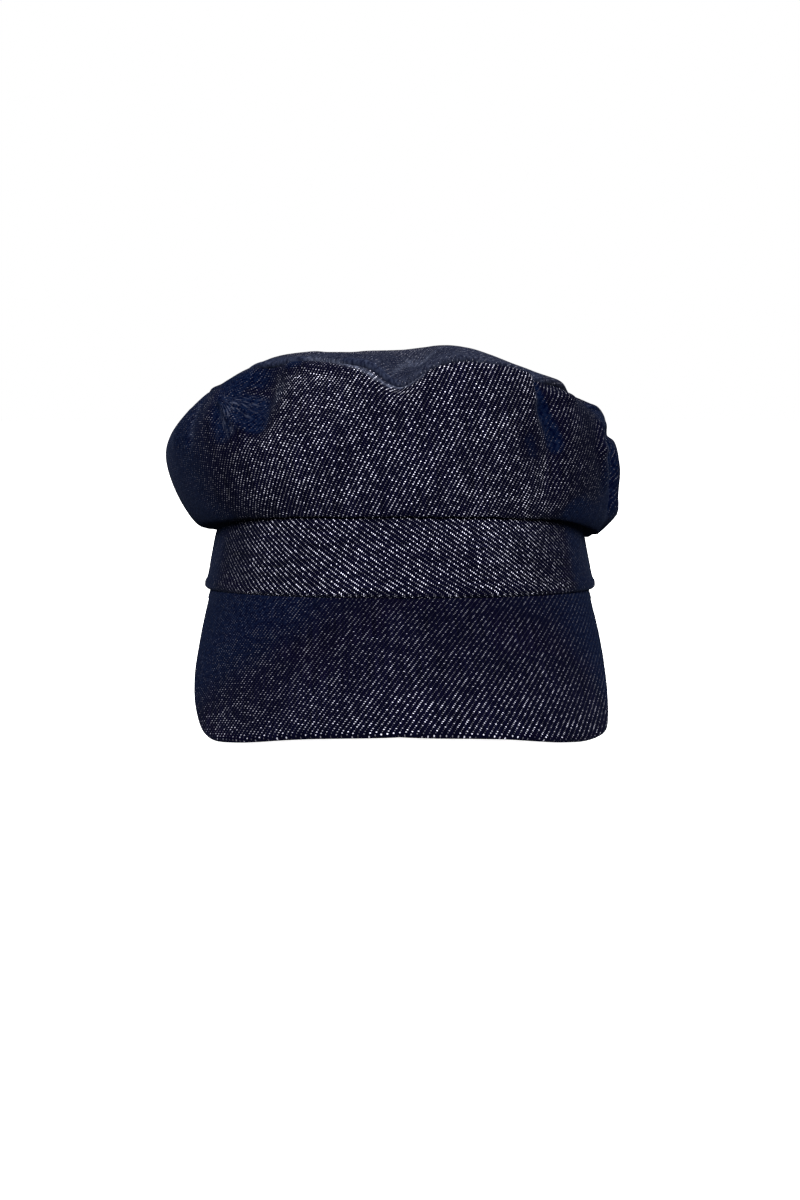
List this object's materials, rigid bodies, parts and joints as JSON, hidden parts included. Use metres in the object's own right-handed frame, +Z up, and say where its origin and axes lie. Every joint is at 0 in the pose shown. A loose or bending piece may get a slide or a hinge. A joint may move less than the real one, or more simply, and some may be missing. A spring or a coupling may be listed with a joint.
{
  "type": "denim cap",
  "caption": "Soft dark denim cap with a puffed, dented crown over a flared plain band and a steep curved peak with rounded corners.",
  "frame": {"origin": "on the surface that the cap rests on, under the middle of its box", "axes": "+Z up, the peak faces -Y, +X to the right as seen from the front; the cap is tipped back so that the peak's front corners and the back of the band touch the surface"},
  "size_m": [0.1942, 0.2586, 0.1179],
  "materials": {
    "denim": "dark indigo warp-faced twill with white weft flecks, matte"
  },
  "bodies": {
    "root": {"crown_wall": "denim", "crown_top": "denim", "band": "denim", "peak": "denim"}
  },
  "joints": []
}
